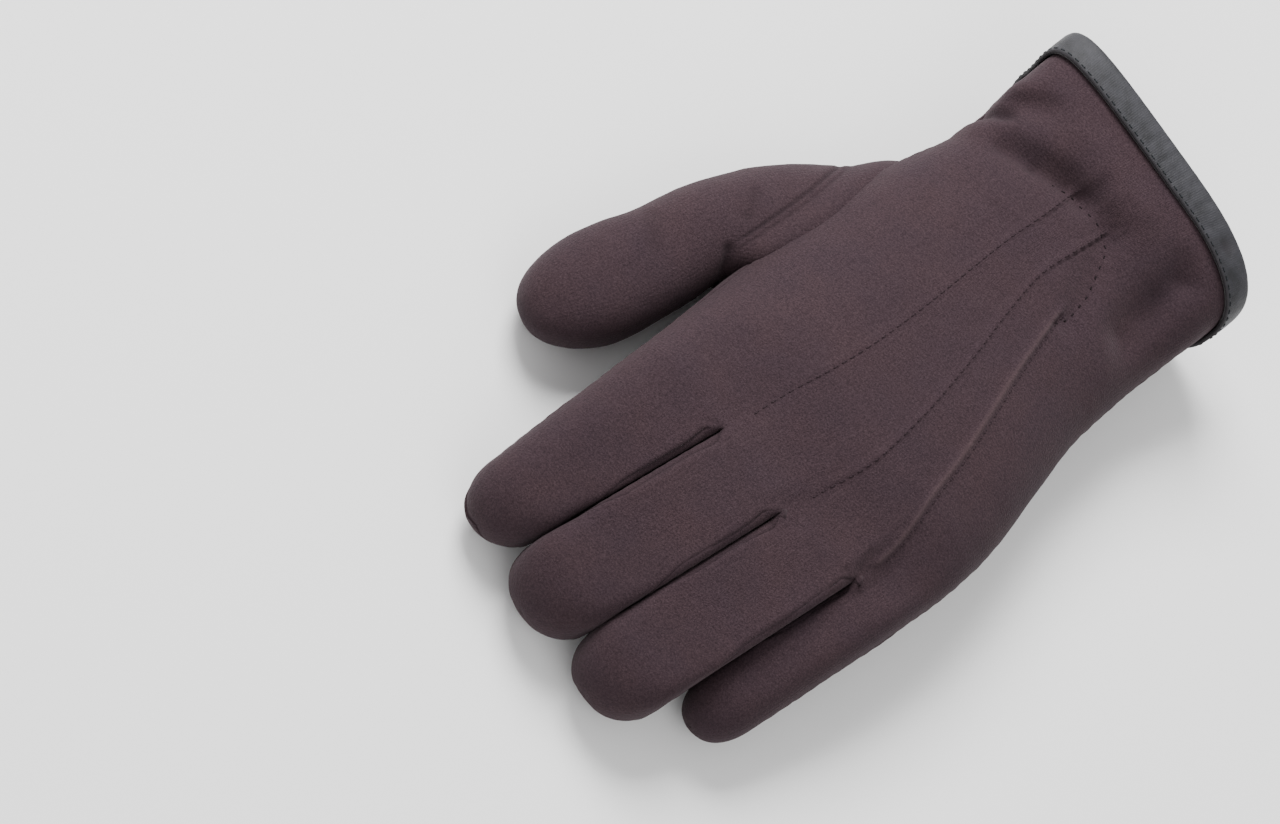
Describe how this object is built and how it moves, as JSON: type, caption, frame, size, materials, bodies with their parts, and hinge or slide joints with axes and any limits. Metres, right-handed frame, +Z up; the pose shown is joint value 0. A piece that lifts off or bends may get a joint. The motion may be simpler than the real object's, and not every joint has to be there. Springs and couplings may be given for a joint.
{
  "type": "work glove",
  "caption": "Left-hand work glove of brown napped cotton with raised points on the back, a gathered wrist, strips between the fingers, a set-in thumb and a black bound cuff, lying palm down",
  "frame": {"origin": "on the surface the glove lies on, under the middle of the palm, on the palm's flattened face", "axes": "+Y from the cuff to the fingertips, +X towards the thumb, +Z up, out of the back of the hand"},
  "size_m": [0.1394, 0.2283, 0.0463],
  "materials": {
    "brown_cotton": "brushed nap",
    "black_tape": "close weave, slight sheen"
  },
  "bodies": {
    "root": {"back_panel": "brown_cotton", "palm_panel": "brown_cotton", "thumb": "brown_cotton", "index_middle_fourchette": "brown_cotton", "middle_ring_fourchette": "brown_cotton", "ring_little_fourchette": "brown_cotton", "cuff_binding": "black_tape"}
  },
  "joints": []
}
